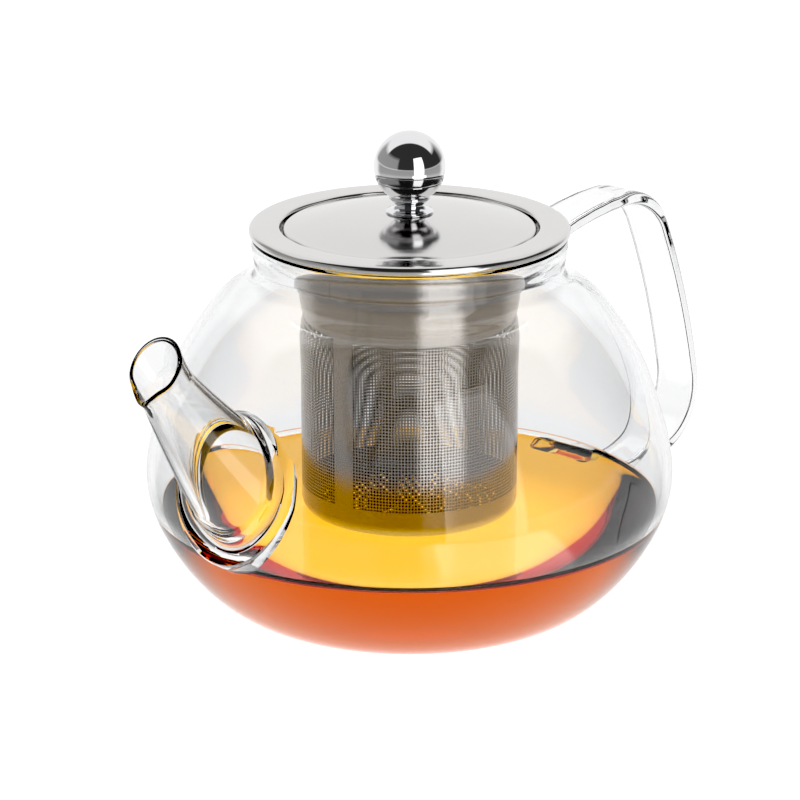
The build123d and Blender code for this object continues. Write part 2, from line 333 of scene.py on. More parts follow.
def horn_rings(inset, outline, reach, sink, past, around=96):
    """Rings of the spout's surface, flared where it meets the belly."""
    turns = [-pi / 2 + 2 * pi * k / around for k in range(around)]
    turns = [(t + pi) % (2 * pi) - pi for t in turns]
    crossing = [wall_crossing(t, inset, outline) for t in turns]
    centre, way = spout_centre(1)
    normal = Vector((-cos(mouth_tilt), 0, sin(mouth_tilt)))
    ends = []
    for turn in turns:
        offset = horn_point(1, turn, inset) - centre
        ends.append(1 + past - offset.dot(normal) / way.dot(normal) / spout_length)
    near = [0, 0.04, 0.09, 0.16, 0.25, 0.36, 0.5, 0.66, 0.84, 1.0]
    rings = []
    for depth in (sink, 0.0006):
        ring = []
        for turn, cross in zip(turns, crossing):
            p = horn_point(cross - depth / spout_length, turn, inset)
            out = (p - spout_centre(cross)[0]).normalized()
            ring.append(p + out * reach * (1.05 if depth < 0.001 else 0.6))
        rings.append(ring)
    for share in near:
        ring = []
        for turn, cross in zip(turns, crossing):
            along = cross + share * reach / spout_length
            p = horn_point(along, turn, inset)
            out = (p - spout_centre(along)[0]).normalized()
            flare = reach * (1 - sqrt(max(0, 1 - (1 - share) ** 2)))
            ring.append(p + out * flare)
        rings.append(ring)
    steps = 36
    for k in range(1, steps + 1):
        ring = []
        for turn, cross, end in zip(turns, crossing, ends):
            start = cross + reach / spout_length
            ring.append(horn_point(between(start, end - rim_round / spout_length, k / steps), turn, inset))
        rings.append(ring)
    for k in range(1, 6):
        lean = pi / 2 * k / 5
        ring = []
        for turn, end in zip(turns, ends):
            along = end - rim_round * (1 - sin(lean)) / spout_length
            p = horn_point(along, turn, inset)
            out = (p - spout_centre(along)[0]).normalized()
            ring.append(p + out * rim_round * (1 - cos(lean)) * (1 if inset else -1))
        rings.append(ring)
    if inset:
        rings.append([p + way * 0.003 for p in rings[-1]])
    return rings


# ------------------------------------------------------------------ handle
handle_width = 0.0140
handle_thickness = 0.0046
handle_sink = 0.0060
handle_start_drop = 0.0095
handle_root_drop = 0.0075
handle_crest = (0.0840, 0.0948)
handle_shoulder_drop = 0.0108
handle_reach = (0.1168, 0.0375)
handle_heel = (0.1060, 0.0178)
handle_weld_z = 0.0235
weld_near = 0.0045
weld_width = 0.0075
weld_thickness = 0.0055


def tangent_arc(start, way, end):
    """Points of the arc that leaves start along way and ends at end, and its direction there (X-Z plane)."""
    s, w, e = np.array(start), np.array(way) / np.linalg.norm(way), np.array(end)
    chord = e - s
    normal = np.array([-w[1], w[0]])
    radius = chord.dot(chord) / (2 * chord.dot(normal))
    centre = s + normal * radius
    first = atan2(*(s - centre)[::-1])
    last = atan2(*(e - centre)[::-1])
    turn = (last - first + pi) % (2 * pi) - pi
    if turn * radius < 0:
        turn += 2 * pi * (1 if radius > 0 else -1)
    steps = max(6, int(abs(turn) / radians(3)))
    angles = first + turn * np.arange(steps + 1) / steps
    points = centre + abs(radius) * np.stack([np.cos(angles), np.sin(angles)], -1)
    out = np.array([cos(turn) * w[0] - sin(turn) * w[1], sin(turn) * w[0] + cos(turn) * w[1]])
    return [tuple(p) for p in points], tuple(out)


def handle_line():
    """The strap's centre line, a chain of tangent arcs from the neck to the belly."""
    root = (neck_radius - handle_sink, neck_height - handle_start_drop)
    crest = handle_crest
    rise = between(neck_height - handle_root_drop, crest[1], 0.7)
    middle = (between(neck_radius, crest[0], 0.45), rise)
    a, b, c = (np.array(p) for p in (root, middle, crest))
    d = 2 * (a[0] * (b[1] - c[1]) + b[0] * (c[1] - a[1]) + c[0] * (a[1] - b[1]))
    ux = ((a @ a) * (b[1] - c[1]) + (b @ b) * (c[1] - a[1]) + (c @ c) * (a[1] - b[1])) / d
    uy = ((a @ a) * (c[0] - b[0]) + (b @ b) * (a[0] - c[0]) + (c @ c) * (b[0] - a[0])) / d
    start_way = (-(a[1] - uy), a[0] - ux)
    if start_way[0] < 0:
        start_way = (-start_way[0], -start_way[1])
    line, way = tangent_arc(root, start_way, crest)
    stops = [
        (between(crest[0], handle_reach[0], 0.53), crest[1] - handle_shoulder_drop),
        handle_reach,
        handle_heel,
        (belly_radius - handle_sink, handle_weld_z),
    ]
    for stop in stops:
        more, way = tangent_arc(line[-1], way, stop)
        line += more[1:]
    return line


def strap_section(width, thickness, count=64):
    """A pressed strap: rounded rims with a slightly thinner middle, as a list of (across, through)."""
    section = []
    for k in range(count):
        t = 2 * pi * k / count
        across = abs(cos(t)) ** 0.42 * (1 if cos(t) >= 0 else -1) * width / 2
        through = abs(sin(t)) ** 0.60 * (1 if sin(t) >= 0 else -1) * thickness / 2
        rim = (2 * abs(across) / width) ** 4
        section.append((across, through * (0.80 + 0.24 * rim)))
    return section


def handle_rings():
    """Rings of the strap, flared where it is welded to the neck and to the belly."""
    line = [Vector((x, 0, z)) for x, z in handle_line()]
    outline = outer_belly()
    clear = [max(0, p.x - belly_radius_at(p.z, outline)) for p in line]
    gone = np.concatenate([[0], np.cumsum([(b - a).length for a, b in zip(line, line[1:])])])
    total = gone[-1]
    rings = []
    for k, point in enumerate(line):
        ahead = line[min(k + 1, len(line) - 1)] - line[max(k - 1, 0)]
        way = ahead.normalized()
        side = Vector((0, 1, 0))
        through = way.cross(side)
        share = gone[k] / total
        weld = exp(-((clear[k] / weld_near) ** 2)) if (share < 0.2 or share > 0.8) else 0
        width = handle_width * (1 - 0.06 * sin(pi * share)) + weld_width * weld
        thickness = handle_thickness + weld_thickness * weld
        rings.append([point + side * a + through * b for a, b in strap_section(width, thickness)])
    return rings


# ------------------------------------------------------------------ the pot's glass, one welded body
def make_pot():
    """Belly, neck, spout and handle as one flame-welded piece of glass."""
    outer = outer_belly()
    lip = spline(
        [(neck_radius, neck_height), (neck_radius + 0.0007, lip_height - 0.0016),
         (neck_radius + 0.0001, lip_height - 0.0001), (neck_radius - 0.0008, lip_height)],
        (0, 1), (-1, 0), step=0.0004,
    )
    foot = [(0, 0)] + [(base_radius * k / 6, 0) for k in range(1, 6)]
    outline = foot + outer + lip[1:] + [(0, lip_height)]
    pot = lathe("pot_glass", outline)
    horn = skin("horn", horn_rings(0, outer, weld_reach, 0.010, 0))
    strap = skin("strap", handle_rings())
    combine(pot, horn, "UNION")
    combine(pot, strap, "UNION")
    inner = inner_belly()
    inner_neck = neck_radius - neck_wall
    mouth = spline(
        [(inner_neck, neck_height), (inner_neck, lip_height - 0.0016),
         (inner_neck + 0.0007, lip_height - 0.0002), (inner_neck + 0.0010, lip_height + 0.0006)],
        (0, 1), None, step=0.0004,
    )
    floor = [(0, base_thickness)] + [(base_radius * k / 6, base_thickness) for k in range(1, 6)]
    hollow = lathe("hollow", floor + inner + mouth[1:] + [(0, lip_height + 0.0006)])
    combine(pot, hollow, "DIFFERENCE")
    channel = skin("channel", horn_rings(spout_wall, inner, channel_reach, 0.004, 0))
    combine(pot, channel, "DIFFERENCE")
    smooth(pot, 50)
    for face in pot.data.polygons:
        out, height = face.center.xy.length, face.center.z
        wet = base_thickness - 0.0003 < height < tea_level + tea_climb - 0.0002
        face.material_index = int(wet and out < belly_radius_at(height, inner) + tea_gap)
    return pot


def make_tea():
    """The tea: its sides lie inside the glass, and its surface climbs a little where it meets the glass."""
    sides = [p for p in inner_belly(out=tea_gap) if p[1] < tea_level + tea_climb]
    sides.append((sides[-1][0], tea_level + tea_climb))
    edge = sides[-1][0]
    top = []
    for k in range(13):
        off = 0.0045 * (k / 12) ** 1.6
        top.append((edge - off, tea_level + tea_climb * exp(-off / tea_climb_reach)))
    floor_level = sides[0][1]
    floor = [(0, floor_level)] + [(base_radius * k / 6, floor_level) for k in range(1, 6)]
    flat = [(between(top[-1][0], 0, k / 12), tea_level) for k in range(1, 13)]
    tea = lathe("tea", floor + sides + top[1:] + flat, smooth_angle=60)
    for face in tea.data.polygons:
        below, out = face.center.z < tea_level - 0.0001, face.center.xy.length > edge - 0.0001
        face.material_index = int(below or out)
    return tea


# ------------------------------------------------------------------ infuser
sheet = 0.0006
recess_radius = 0.0338
recess_depth = 0.0034
edge_height = 0.0025
skirt_bottom = rim_low[2]


def make_flange():
    """The infuser's pressed top: rolled flange, recess and skirt, with its bends rounded."""
    top = flange_height
    curl = edge_height / 2
    floor = top - recess_depth
    bend = 0.0008
    outline = arc((flange_radius - curl, top - curl), curl, 90, -200, 24)
    outline += [(recess_radius + 2.0 * sheet, top - sheet)]
    outline += arc((recess_radius + 2.0 * sheet, top - 2.0 * sheet), sheet, 90, 180, 6)
    outline += [(recess_radius + sheet, floor - sheet + 0.0004)]
    outline += arc((recess_radius + sheet - 0.0006, floor - sheet + 0.0006), 0.0006, 0, -90, 6)
    outline += arc((sleeve_radius + sheet + 0.0006, floor - 2 * sheet), 0.0006, 90, 180, 6)
    outline += [(sleeve_radius + sheet, between(floor, skirt_bottom, 0.5))]
    outline += arc((sleeve_radius + 0.5 * sheet, skirt_bottom + 0.5 * sheet), 0.5 * sheet, 0, -180, 8)
    outline += [(sleeve_radius + 0.00002, between(floor, skirt_bottom, 0.5))]
    outline += arc((sleeve_radius + 2 * sheet, floor - 2 * sheet), 2 * sheet - 0.00002, 180, 90, 8)
    outline += arc((recess_radius - bend, floor + bend), bend, -90, 0, 6)
    outline += arc((recess_radius + 1.4 * sheet, top - 1.4 * sheet), 1.4 * sheet, 180, 90, 8)
    outline += [(between(recess_radius, flange_radius, k / 6), top) for k in range(2, 5)]
    flange = lathe("infuser_flange", outline, smooth_angle=50)
    for face in flange.data.polygons:
        centre = face.center
        skirt = centre.z < floor - sheet and sqrt(centre.x**2 + centre.y**2) < sleeve_radius + 2 * sheet
        face.material_index = 1 if skirt else 0
    return flange


hole_top = flange_height - 0.0245
hole_bottom = flange_height - 0.0699
hole_columns = 216
hole_rows = 53
seam_columns = 7
hole_half = 0.22  # half of an opening's side, as a share of the pitch
hole_shade_half = 0.30  # the same with the painted shade over its sloping walls
seam_turn = radians(-90 - 48.5 - 42.5)


def make_sleeve():
    """The rolled sleeve: fine holes all round except along its plain seam."""
    data = bmesh.new()
    step = 2 * pi / hole_columns
    rise = (hole_top - hole_bottom) / hole_rows
    half = hole_half

    def at(turn, height):
        return data.verts.new((sleeve_radius * cos(turn), sleeve_radius * sin(turn), height))

    corners = []
    for row in range(hole_rows + 1):
        level = hole_bottom + row * rise
        corners.append([at(seam_turn + column * step, level) for column in range(hole_columns)])
    for row in range(hole_rows):
        for column in range(hole_columns):
            after = (column + 1) % hole_columns
            low, high = corners[row], corners[row + 1]
            outer = (low[column], low[after], high[after], high[column])
            if column < seam_columns:
                data.faces.new(outer)
                continue
            inner = []
            for across, up in ((-half, -half), (half, -half), (half, half), (-half, half)):
                turn = seam_turn + (column + 0.5 + across) * step
                inner.append(at(turn, hole_bottom + (row + 0.5 + up) * rise))
            for k in range(4):
                n = (k + 1) % 4
                data.faces.new((outer[k], outer[n], inner[n], inner[k]))
    for ring, height in ((corners[0], sleeve_low[2]), (corners[-1], sleeve_high[2])):
        last = ring
        for share in (0.5, 1.0):
            level = between(ring[0].co.z, height, share)
            new = [at(seam_turn + column * step, level) for column in range(hole_columns)]
            for column in range(hole_columns):
                after = (column + 1) % hole_columns
                data.faces.new((last[column], last[after], new[after], new[column]))
            last = new
    return new_piece("infuser_mesh_sleeve", data)


drill_spacing = 0.0024  # between the rings of holes in the infuser's bottom
drill_radius = 0.00055


def make_cup():
    """The infuser's bottom: a shallow cup with a rounded corner and rings of holes."""
    top = cup_high[2]
    corner = top - cup_bottom
    wall = 0.0004
    outline = [(0, cup_bottom), (0.010, cup_bottom), (0.020, cup_bottom)]
    outline += arc((sleeve_radius - corner, top), corner, -90, 0, 12)
    outline += arc((sleeve_radius - corner, top), corner - wall, 0, -90, 12)
    outline += [(0.020, cup_bottom + wall), (0.010, cup_bottom + wall), (0, cup_bottom + wall)]
    cup = lathe("infuser_bottom", outline, smooth_angle=50)
    data = bmesh.new()
    for ring in range(1, 11):
        radius = drill_spacing * ring
        count = 6 * ring
        for k in range(count):
            turn = 2 * pi * k / count
            place = Matrix.Translation((radius * cos(turn), radius * sin(turn), cup_bottom + wall / 2))
            bmesh.ops.create_cone(
                data, cap_ends=True, segments=8, radius1=drill_radius, radius2=drill_radius,
                depth=0.002, matrix=place,
            )
    drills = new_piece("drills", data)
    combine(cup, drills, "DIFFERENCE")
    smooth(cup, 50)
    return cup


# ------------------------------------------------------------------ lid and knob
def make_lid():
    """The lid's domed disc with a rolled edge and a flat land under the knob."""
    floor = disc_low[2]
    thick = 0.0008
    land = foot_high[0] + 0.0004
    edge_top = flange_height - 0.0005
    roll = 0.0011
    outline = [(bore_radius, disc_top), (land, disc_top)]
    dome = spline(
        [(land, disc_top), (between(land, disc_radius, 0.5), between(edge_top, disc_top, 0.72)),
         (disc_radius - roll, edge_top + 0.00012)], None, None, step=0.0015)
    outline += dome[1:]
    outline += arc((disc_radius - roll, edge_top + 0.00012 - roll), roll, 84, 0, 10)
    outline += [(disc_radius, floor + 0.0006)]
    outline += arc((disc_radius - 0.0004, floor + 0.0004), 0.0004, 0, -180, 8)
    outline += [(disc_radius - 0.0008, edge_top - 2 * thick)]
    outline += [(r * (disc_radius - roll - 0.0006) / (disc_radius - roll), z - thick) for r, z in dome[::-1]]
    outline += [(bore_radius, disc_top - thick)]
    return lathe("lid_plate", outline, smooth_angle=30)


def make_foot():
    """The flared ring that the knob stands on."""
    low, high = foot_low[2], foot_high[2]
    wide = foot_high[0]
    rise = high - low
    middle = (between(wide, waist_radius, 0.68), low + 0.42 * rise)
    flare = spline(
        [(wide - 0.0002, low + 0.0005), middle, (waist_radius, high - 0.0001)],
        (-0.8, 0.6), (-0.05, 1), step=0.0003,
    )
    outline = [(bore_radius, low)] + arc((wide - 0.0003, low + 0.0003), 0.0003, -90, 60, 6) + flare
    outline += [(bore_radius, high - 0.0001)]
    return lathe("knob_base_ring", outline, around=96, smooth_angle=50)


def make_collar():
    """The tapered cup between foot and ball."""
    low, high = collar_low[2], collar_high[2]
    wide = collar_high[0]
    narrow = waist_radius + 0.0003
    outline = [(bore_radius, low)] + arc((narrow - 0.0002, low + 0.0002), 0.0002, -90, 0, 4)
    outline += arc((wide - 0.0003, high - 0.0006), 0.0003, -20, 0, 3)
    outline += arc((wide - 0.0003, high - 0.0003), 0.0003, 0, 90, 5)
    for k in range(7):
        radius = between(wide - 0.0006, bore_radius, k / 6)
        outline.append((radius, ball_height - sqrt(ball_radius**2 - radius**2) - 0.00002))
    return lathe("knob_neck_cup", outline, around=96, smooth_angle=50)


def make_ball_halves():
    """The ball's cap and cup, each with a softened edge at the seam between them."""
    drop = (ball_height - seam_height) / ball_radius
    seam = degrees(-np.arcsin(drop))
    soft = 1.3  # degrees of the ball's edge that the seam's groove rounds off
    groove = 0.00016
    gap = 0.00003
    screw = (0.0021, 0.003)  # radius and depth of the hole for the screw
    bottom = ball_height - ball_radius
    rim = ball_radius * cos(radians(seam))
    cap = arc((0, ball_height), ball_radius, 90, seam + soft, 64)
    cap[0] = (0, ball_height + ball_radius)
    cap += [(rim - groove, seam_height + gap), (rim - ball_wall, seam_height + gap)]
    cap += arc((0, ball_height), ball_radius - ball_wall, seam, 90, 24)[1:-1]
    cap += [(0, ball_height + ball_radius - ball_wall)]
    upper = lathe("knob_cap", cap, around=128, smooth_angle=35)
    cup = [(0, seam_height - gap), (rim - ball_wall, seam_height - gap), (rim - groove, seam_height - gap)]
    cup += arc((0, ball_height), ball_radius, seam - soft, -90 + 14, 24)
    cup += [(screw[0], bottom + 0.0003), (screw[0], bottom + screw[1]), (0, bottom + screw[1])]
    lower = lathe("knob_cup", cup, around=128, smooth_angle=35)
    return upper, lower


# ------------------------------------------------------------------ materials
def new_material(name):
    """An empty node material: its tree, its Principled shader and its output."""
    material = bpy.data.materials.new(name)
    material.use_nodes = True
    tree = material.node_tree
    tree.nodes.clear()
    output = tree.nodes.new("ShaderNodeOutputMaterial")
    shader = tree.nodes.new("ShaderNodeBsdfPrincipled")
    tree.links.new(shader.outputs["BSDF"], output.inputs["Surface"])
    return material, tree, shader, output


def node(tree, kind, links=(), **values):
    """A node with some inputs set by name, and some linked from (input, socket) pairs."""
    made = tree.nodes.new(kind)
    for name, value in values.items():
        key = name.replace("_", " ").title() if name not in dir(made) else name
        if name in dir(made):
            setattr(made, name, value)
        else:
            made.inputs[key].default_value = value
    for name, socket in links:
        tree.links.new(socket, made.inputs[name])
    return made


def object_place(tree):
    """The object's own coordinates, in metres."""
    return tree.nodes.new("ShaderNodeTexCoord").outputs["Object"]


def glass_material(name, index):
    """Clear blown glass with a faint waviness; index is against what lies beyond it."""
    material, tree, shader, _ = new_material(name)
    shader.inputs["Base Color"].default_value = (0.972, 0.976, 0.98, 1)
    shader.inputs["Transmission Weight"].default_value = 1
    shader.inputs["IOR"].default_value = index
    shader.inputs["Roughness"].default_value = 0.0
    place = object_place(tree)
    stretch = node(tree, "ShaderNodeMapping", [("Vector", place)])
    stretch.inputs["Scale"].default_value = (1, 1, 0.45)
    waves = node(tree, "ShaderNodeTexNoise", [("Vector", stretch.outputs["Vector"])])
    waves.inputs["Scale"].default_value = 34.0
    waves.inputs["Detail"].default_value = 1.0
    bump = node(tree, "ShaderNodeBump", [("Height", waves.outputs["Fac"])])
    bump.inputs["Strength"].default_value = 0.008
    bump.inputs["Distance"].default_value = 0.0003
    tree.links.new(bump.outputs["Normal"], shader.inputs["Normal"])
    return material


def tea_material(name, index):
    """Clear amber tea: the colour comes from the depth of liquid that light crosses."""
    material, tree, shader, output = new_material(name)
    shader.inputs["Base Color"].default_value = (1.0, 1.0, 1.0, 1)
    shader.inputs["Transmission Weight"].default_value = 1
    shader.inputs["IOR"].default_value = index
    shader.inputs["Roughness"].default_value = 0.0
    place = object_place(tree)
    ripple = node(tree, "ShaderNodeTexNoise", [("Vector", place)])
    ripple.inputs["Scale"].default_value = 40.0
    ripple.inputs["Detail"].default_value = 1.5
    bump = node(tree, "ShaderNodeBump", [("Height", ripple.outputs["Fac"])])
    bump.inputs["Strength"].default_value = 0.03
    bump.inputs["Distance"].default_value = 0.0004
    tree.links.new(bump.outputs["Normal"], shader.inputs["Normal"])
    depth = tree.nodes.new("ShaderNodeVolumeAbsorption")
    depth.inputs["Color"].default_value = (0.982, 0.79, 0.02, 1)
    depth.inputs["Density"].default_value = 85.0
    tree.links.new(depth.outputs["Volume"], output.inputs["Volume"])
    return material


def steel_material(name, colour, rough, grain, turned, smudge=0.04):
    """Stainless steel: fine brushing, round a turned piece or up a rolled sheet, and soft handling marks."""
    material, tree, shader, _ = new_material(name)
    shader.inputs["Metallic"].default_value = 1
    place = object_place(tree)
    parts = node(tree, "ShaderNodeSeparateXYZ", [("Vector", place)])
    if turned:
        flat = node(tree, "ShaderNodeCombineXYZ", [("X", parts.outputs["X"]), ("Y", parts.outputs["Y"])])
        away = node(tree, "ShaderNodeVectorMath", [("Vector", flat.outputs["Vector"])], operation="LENGTH")
        sweep = node(tree, "ShaderNodeCombineXYZ", [("X", away.outputs["Value"]), ("Y", parts.outputs["Z"])])
    else:
        across = [(0, parts.outputs["Y"]), (1, parts.outputs["X"])]
        around = node(tree, "ShaderNodeMath", across, operation="ARCTAN2")
        thin = node(tree, "ShaderNodeMath", [(0, parts.outputs["Z"])], operation="MULTIPLY")
        thin.inputs[1].default_value = 0.6
        unrolled = [("X", around.outputs["Value"]), ("Y", thin.outputs["Value"])]
        sweep = node(tree, "ShaderNodeCombineXYZ", unrolled)
    lines = node(tree, "ShaderNodeTexNoise", [("Vector", sweep.outputs["Vector"])], scale=grain, detail=4.0)
    marks = node(tree, "ShaderNodeTexNoise", [("Vector", place)], scale=70.0, detail=3.0)
    spread = node(tree, "ShaderNodeMapRange", [("Value", lines.outputs["Fac"])])
    spread.inputs["To Min"].default_value = rough - 0.05
    spread.inputs["To Max"].default_value = rough + 0.05
    blotch = node(tree, "ShaderNodeMapRange", [("Value", marks.outputs["Fac"])])
    blotch.inputs["To Min"].default_value = -smudge
    blotch.inputs["To Max"].default_value = smudge
    total = node(tree, "ShaderNodeMath", [(0, spread.outputs["Result"]), (1, blotch.outputs["Result"])])
    total.operation = "ADD"
    total.use_clamp = True
    tree.links.new(total.outputs["Value"], shader.inputs["Roughness"])
    tone = node(tree, "ShaderNodeMixRGB", [("Fac", marks.outputs["Fac"])])
    tone.inputs["Color1"].default_value = (*[0.94 * c for c in colour], 1)
    tone.inputs["Color2"].default_value = (*colour, 1)
    tree.links.new(tone.outputs["Color"], shader.inputs["Base Color"])
    bump = node(tree, "ShaderNodeBump", [("Height", lines.outputs["Fac"])], strength=0.06, distance=0.0001)
    tree.links.new(bump.outputs["Normal"], shader.inputs["Normal"])
    return material


def perforated_material():
    """Satin sheet with painted shade round each etched opening, where the holes' sloping walls lie in shade.
    """
    material = steel_material("perforated_steel", (0.44, 0.42, 0.40), 0.15, 900.0, turned=False)
    tree = material.node_tree
    shader = next(n for n in tree.nodes if n.type == "BSDF_PRINCIPLED")
    parts = node(tree, "ShaderNodeSeparateXYZ", [("Vector", object_place(tree))])

    def maths(operation, first, second=None, third=None):
        made = tree.nodes.new("ShaderNodeMath")
        made.operation = operation
        for k, value in enumerate((first, second, third)):
            if isinstance(value, (int, float)):
                made.inputs[k].default_value = value
            elif value is not None:
                tree.links.new(value, made.inputs[k])
        return made.outputs["Value"]

    turn = maths("ARCTAN2", parts.outputs["Y"], parts.outputs["X"])
    step = 2 * pi / hole_columns
    rise = (hole_top - hole_bottom) / hole_rows
    column = maths("DIVIDE", maths("SUBTRACT", turn, seam_turn - 4 * pi), step)
    column = maths("MODULO", column, hole_columns)
    row = maths("DIVIDE", maths("SUBTRACT", parts.outputs["Z"], hole_bottom), rise)
    across = maths("COMPARE", maths("FRACT", column), 0.5, hole_shade_half)
    up = maths("COMPARE", maths("FRACT", row), 0.5, hole_shade_half)
    past_seam = maths("GREATER_THAN", column, seam_columns)
    inside = maths("MULTIPLY", past_seam, maths("GREATER_THAN", row, 0.0))
    inside = maths("MULTIPLY", inside, maths("LESS_THAN", row, hole_rows))
    hole_shade_mask = maths("MULTIPLY", maths("MULTIPLY", across, up), inside)
    colour = shader.inputs["Base Color"].links[0].from_socket
    mixed = node(tree, "ShaderNodeMixRGB", [("Fac", hole_shade_mask), ("Color1", colour)])
    # painted shade: near-black round each opening, for the shaded sloping walls of the holes
    mixed.inputs["Color2"].default_value = (0.022, 0.02, 0.018, 1)
    tree.links.new(mixed.outputs["Color"], shader.inputs["Base Color"])
    return material


def chrome_material():
    """Mirror chrome with faint fingerprints in its gloss."""
    material, tree, shader, _ = new_material("mirror_chrome")
    shader.inputs["Metallic"].default_value = 1
    place = object_place(tree)
    marks = node(tree, "ShaderNodeTexNoise", [("Vector", place)], scale=160.0, detail=4.0)
    spread = node(tree, "ShaderNodeMapRange", [("Value", marks.outputs["Fac"])])
    spread.inputs["From Min"].default_value = 0.45
    spread.inputs["To Min"].default_value = 0.015
    spread.inputs["To Max"].default_value = 0.075
    tree.links.new(spread.outputs["Result"], shader.inputs["Roughness"])
    tone = node(tree, "ShaderNodeMixRGB", [("Fac", marks.outputs["Fac"])])
    tone.inputs["Color1"].default_value = (0.80, 0.80, 0.815, 1)
    tone.inputs["Color2"].default_value = (0.86, 0.86, 0.87, 1)
    tree.links.new(tone.outputs["Color"], shader.inputs["Base Color"])
    return material


def floor_material():
    """A plain pale table, white to the camera; reflections see its painted glow, bright under the pot and
    dim further out.
    """
    material, tree, shader, _ = new_material("pale_floor")
    shader.inputs["Base Color"].default_value = (0.14, 0.14, 0.14, 1)
    shader.inputs["Roughness"].default_value = 0.9
    shader.inputs["Specular IOR Level"].default_value = 0.1
    place = object_place(tree)
    away = node(tree, "ShaderNodeVectorMath", [("Vector", place)], operation="LENGTH")
    near = tree.nodes.new("ShaderNodeValToRGB")
    tree.links.new(away.outputs["Value"], near.inputs["Fac"])
    fill_ramp(near, table_glow)
    _, side = round_ramp(tree, place, table_round)
    reach = node(tree, "ShaderNodeMapRange", [("Value", away.outputs["Value"])])
    reach.inputs["From Min"].default_value = 0.085
    reach.inputs["From Max"].default_value = 0.11
    inner = [("Fac", reach.outputs["Result"]), ("Color1", near.outputs["Color"])]
    spread = node(tree, "ShaderNodeMixRGB", inner)
    far = node(tree, "ShaderNodeMapRange", [("Value", away.outputs["Value"])])
    far.inputs["From Min"].default_value = 0.32
    far.inputs["From Max"].default_value = 0.46
    _, edge = round_ramp(tree, place, table_far)
    sides = [("Fac", far.outputs["Result"]), ("Color1", side.outputs["Color"])]
    outer = node(tree, "ShaderNodeMixRGB", sides)
    tree.links.new(edge.outputs["Color"], outer.inputs["Color2"])
    tree.links.new(outer.outputs["Color"], spread.inputs["Color2"])
    seen = tree.nodes.new("ShaderNodeLightPath")
    unseen = [("Fac", seen.outputs["Is Camera Ray"]), ("Color1", spread.outputs["Color"])]
    shown = node(tree, "ShaderNodeMixRGB", unseen)
    shown.inputs["Color2"].default_value = (1, 1, 1, 1)
    # painted light: the floor's emission glows brightest under the pot and in one band by bearing; camera
    # rays see plain white
    tree.links.new(shown.outputs["Color"], shader.inputs["Emission Color"])
    shader.inputs["Emission Strength"].default_value = 1.0
    return material


def card_material(name, level):
    """A studio card that glows evenly."""
    material, tree, _, output = new_material(name)
    glow = tree.nodes.new("ShaderNodeEmission")
    glow.inputs["Color"].default_value = (*level, 1)
    tree.links.new(glow.outputs["Emission"], output.inputs["Surface"])
    return material


def dress(piece, *materials):
    """Gives a piece its materials."""
    chosen = [face.material_index for face in piece.data.polygons]
    piece.data.materials.clear()
    for material in materials:
        piece.data.materials.append(material)
    for face, index in zip(piece.data.polygons, chosen):
        face.material_index = index


# ------------------------------------------------------------------ assembly
glass = glass_material("blown_glass", glass_bend)
wet_glass = glass_material("wet_glass", glass_bend / tea_bend)
tea_look = tea_material("amber_tea", tea_bend)
tea_side = tea_material("amber_tea_side", 1.0)
polished = steel_material("polished_steel", (0.74, 0.73, 0.72), 0.12, 2600.0, turned=True)
satin = steel_material("satin_steel", (0.44, 0.42, 0.40), 0.17, 900.0, turned=False)
perforated = perforated_material()
plain_steel = steel_material("turned_steel", (0.62, 0.62, 0.61), 0.3, 2600.0, turned=True)
chrome = chrome_material()


def place_piece(piece, materials, body, slot, *nodes):
    """Dresses a piece, rides it on its body, and hides the CAD nodes it stands for."""
    dress(piece, *materials)
    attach(piece, body)
    if nodes:
        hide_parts(*nodes)


blown = ("glass_base", "glass_belly_low", "glass_belly_high", "glass_shoulder", "glass_neck")
place_piece(make_pot(), (glass, wet_glass), "pot", "glass", *blown, "glass_spout", "glass_handle")
place_piece(make_tea(), (tea_look, tea_side), "pot", "tea")
place_piece(make_flange(), (polished, satin), "infuser", "polished_steel", "infuser_rim")
place_piece(make_sleeve(), (perforated,), "infuser", "perforated_steel", "infuser_sleeve")
place_piece(make_cup(), (satin,), "infuser", "perforated_steel", "infuser_cup")
place_piece(make_lid(), (polished,), "lid", "polished_steel", "lid_disc")
place_piece(make_foot(), (chrome,), "lid", "chrome", "knob_foot")
place_piece(make_collar(), (chrome,), "lid", "chrome", "knob_collar")
ball_cap, ball_cup = make_ball_halves()
place_piece(ball_cap, (chrome,), "lid", "chrome", "knob_ball_upper")
place_piece(ball_cup, (chrome,), "lid", "chrome", "knob_ball_lower")
dress(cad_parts["lid_skirt"], polished)
dress(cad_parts["knob_washer"], plain_steel)
dress(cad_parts["knob_screw"], plain_steel)

# ------------------------------------------------------------------ studio
view_azimuth = radians(-48.5)
sensor_width = 36  # millimetres
camera_away = 0.890
camera_height = 0.3485
camera_drop = radians(18.21)
camera_yaw = radians(0.162)
focal_share = 4.425  # focal length over the picture's width

toward_camera = Vector((sin(view_azimuth), -cos(view_azimuth), 0))


def make_camera():
    """The camera, seen from a little above the rim with the spout to the front left."""
    lens = bpy.data.cameras.new("camera")
    lens.sensor_width = sensor_width
    lens.lens = sensor_width * focal_share
    lens.clip_start = 0.01
    camera = bpy.data.objects.new("camera", lens)
    bpy.context.scene.collection.objects.link(camera)
    camera.location = toward_camera * camera_away + Vector((0, 0, camera_height))
    camera.rotation_euler = (pi / 2 - camera_drop, 0, view_azimuth + camera_yaw)
    bpy.context.scene.camera = camera


def make_floor():
    """A round pale floor, wide enough to fill every view."""
    data = bmesh.new()
    bmesh.ops.create_circle(data, cap_ends=True, segments=64, radius=6.0)
    floor = new_piece("floor", data)
    floor.location.z = -0.0002
    dress(floor, floor_material())


